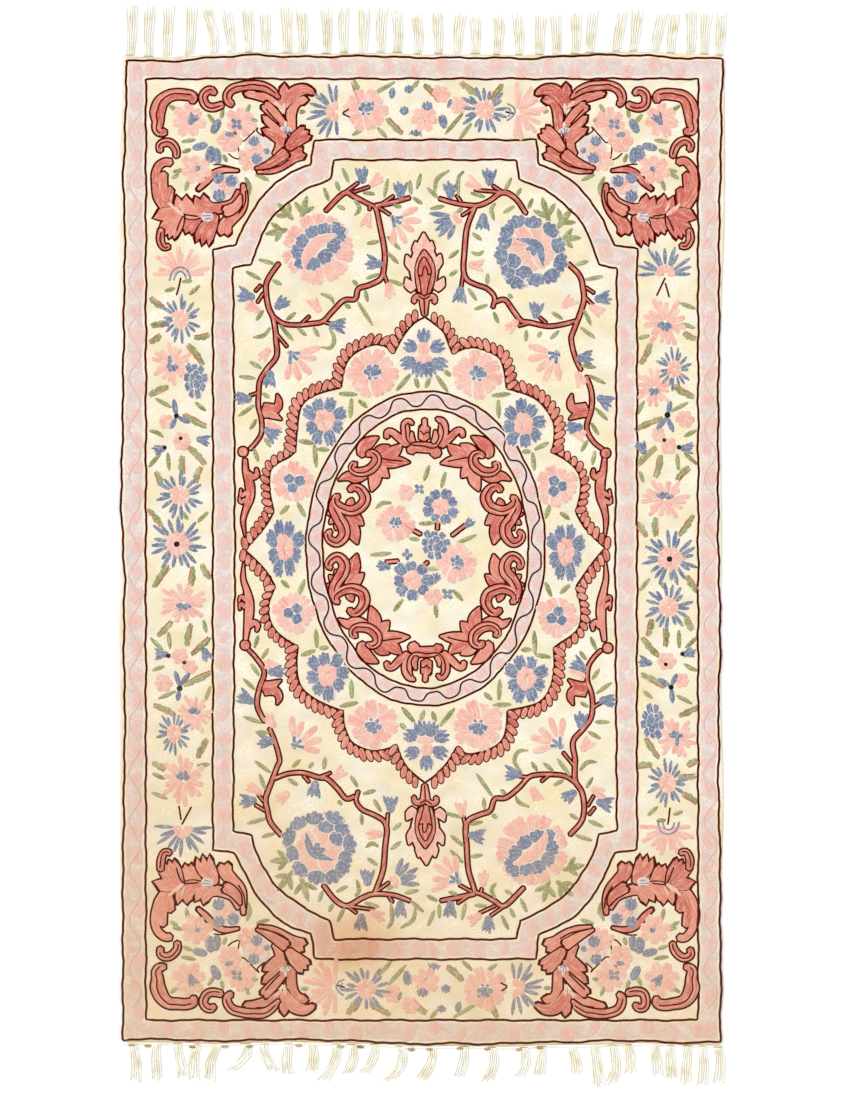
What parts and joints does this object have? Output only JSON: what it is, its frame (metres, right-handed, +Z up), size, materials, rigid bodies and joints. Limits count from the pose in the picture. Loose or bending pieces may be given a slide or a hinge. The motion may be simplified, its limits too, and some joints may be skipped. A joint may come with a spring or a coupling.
{
  "type": "chain-stitched floral rug",
  "caption": "Flat rectangular wool rug with an embroidered floral medallion, scroll corners and guard bands, and a tasselled cotton fringe on each short end.",
  "frame": {"origin": "on the floor, under the middle of the whole rug, fringes included", "axes": "+X along the rug's short side, +Y along its long side towards the straighter, longer fringe, +Z up out of the pile face"},
  "size_m": [0.9228, 1.6504, 0.0032],
  "materials": {
    "wool_cream": "cream wool chain stitch, matte",
    "wool_coral": "coral wool chain stitch, matte",
    "wool_maroon": "dark red-brown wool outline stitch, matte",
    "wool_blue": "dusty blue wool chain stitch, matte",
    "wool_pink": "pale pink wool chain stitch, matte",
    "wool_green": "sage green wool chain stitch, matte",
    "wool_mauve": "grey-mauve wool chain stitch, matte",
    "wool_black": "black wool dots, matte",
    "fringe_cotton": "undyed twisted cotton yarn, matte"
  },
  "bodies": {
    "root": {"rug_cloth": "wool_cream", "fringe_top": "fringe_cotton", "fringe_bottom": "fringe_cotton"}
  },
  "joints": []
}
